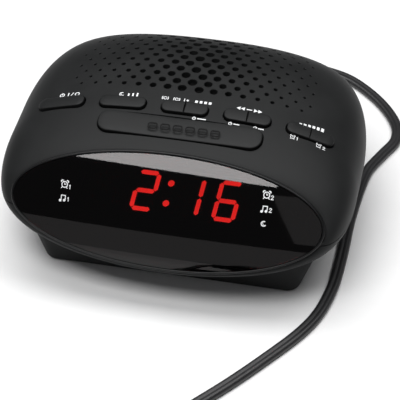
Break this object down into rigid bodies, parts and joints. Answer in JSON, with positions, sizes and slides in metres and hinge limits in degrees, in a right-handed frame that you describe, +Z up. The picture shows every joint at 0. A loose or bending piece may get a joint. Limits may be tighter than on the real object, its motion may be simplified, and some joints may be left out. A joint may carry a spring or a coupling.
{
  "type": "clock radio",
  "caption": "Low clock radio with a domed perforated top, an oval sloping display window, a row of keys and rockers, a snooze bar, and a coiled mains lead with plug.",
  "frame": {"origin": "on the standing surface, under the middle of the case", "axes": "+X to the right as seen from the front, -Y towards the front with the display window, +Z up"},
  "size_m": [0.1411, 0.2777, 0.0586],
  "materials": {
    "case_black": "dark grey moulded plastic, fine even texture",
    "key_black": "dark grey moulded plastic, slightly smoother than the case",
    "bezel_black": "black plastic, semi-gloss",
    "window_black": "smoked black lens, polished",
    "led_red": "red seven-segment display, lit",
    "board_green": "green solder-masked board",
    "switch_grey": "dark moulded component plastic",
    "steel": "zinc-plated steel",
    "ferrite": "dull dark ferrite",
    "copper": "enamelled copper winding",
    "speaker_paper": "black pressed paper cone",
    "holder_white": "natural nylon",
    "cell_sleeve": "plain blue printed sleeve",
    "rubber": "matt black rubber",
    "lead_black": "black flexible vinyl, satin",
    "brass": "plated contact pins"
  },
  "bodies": {
    "case": {"top_cover": "case_black", "bottom_case": "case_black", "front_bezel": "bezel_black", "display_window": "window_black", "led_display": "led_red", "display_board": "board_green", "tact_switch_1": "switch_grey", "tact_switch_2": "switch_grey", "tact_switch_3": "switch_grey", "tact_switch_4": "switch_grey", "tact_switch_5": "switch_grey", "tact_switch_6": "switch_grey", "tact_switch_7": "switch_grey", "tact_switch_8": "switch_grey", "tact_switch_9": "switch_grey", "key_board": "board_green", "key_board_screw_1": "steel", "key_board_screw_2": "steel", "main_board": "board_green", "main_board_screw_1": "steel", "main_board_screw_2": "steel", "tuner_can": "steel", "speaker_frame": "steel", "speaker_magnet": "ferrite", "speaker_cone": "speaker_paper", "speaker_screw_1": "steel", "speaker_screw_2": "steel", "transformer_core": "steel", "transformer_coil": "copper", "ferrite_rod": "ferrite", "aerial_coil": "copper", "rod_holder_1": "holder_white", "rod_holder_2": "holder_white", "backup_cell_1": "cell_sleeve", "backup_cell_2": "cell_sleeve", "battery_contact_1": "steel", "battery_contact_2": "steel", "rubber_foot_1": "rubber", "rubber_foot_2": "rubber", "rubber_foot_3": "rubber", "rubber_foot_4": "rubber", "case_screw_1": "steel", "case_screw_2": "steel", "case_screw_3": "steel", "case_screw_4": "steel", "aux_jack": "switch_grey", "strain_relief": "rubber", "mains_cord": "lead_black", "cord_coil": "lead_black", "cord_tie": "lead_black", "mains_plug": "lead_black", "plug_pin_1": "brass", "plug_pin_2": "brass"},
    "power_button": {"power_key": "key_black"},
    "sleep_button": {"sleep_key": "key_black"},
    "snooze_button": {"snooze_key": "key_black"},
    "band_switch": {"band_rocker": "key_black"},
    "tuning_switch": {"tuning_rocker": "key_black"},
    "volume_switch": {"volume_rocker": "key_black"},
    "battery_cover": {"battery_door": "case_black"}
  },
  "joints": [
    {"name": "power_press", "type": "slide", "parent": "case", "child": "power_button", "axis": [0.2791, 0.0766, -0.9572], "range_m": [0, 0.0006], "stiffness_N_per_m": 1500},
    {"name": "sleep_press", "type": "slide", "parent": "case", "child": "sleep_button", "axis": [0.0772, 0.1184, -0.99], "range_m": [0, 0.0006], "stiffness_N_per_m": 1500},
    {"name": "snooze_press", "type": "slide", "parent": "case", "child": "snooze_button", "axis": [0.0004, 0.1789, -0.9839], "range_m": [0, 0.0006], "stiffness_N_per_m": 1500},
    {"name": "band_rock", "type": "hinge", "parent": "case", "child": "band_switch", "pos_m": [0, -0.00673, 0.0539], "axis": [0, 0.9922, 0.1244], "range_deg": [-2.5, 2.5], "stiffness_Nm_per_rad": 0.2},
    {"name": "tuning_rock", "type": "hinge", "parent": "case", "child": "tuning_switch", "pos_m": [0.02297, -0.00675, 0.05311], "axis": [0, 0.993, 0.1178], "range_deg": [-2.5, 2.5], "stiffness_Nm_per_rad": 0.2},
    {"name": "volume_rock", "type": "hinge", "parent": "case", "child": "volume_switch", "pos_m": [0.04556, -0.00687, 0.04935], "axis": [0, 0.9968, 0.0797], "range_deg": [-2.5, 2.5], "stiffness_Nm_per_rad": 0.2},
    {"name": "battery_door_hinge", "type": "hinge", "parent": "case", "child": "battery_cover", "pos_m": [0, 0.0014, 0.00155], "axis": [-1, 0, 0], "range_deg": [0, 75]}
  ]
}
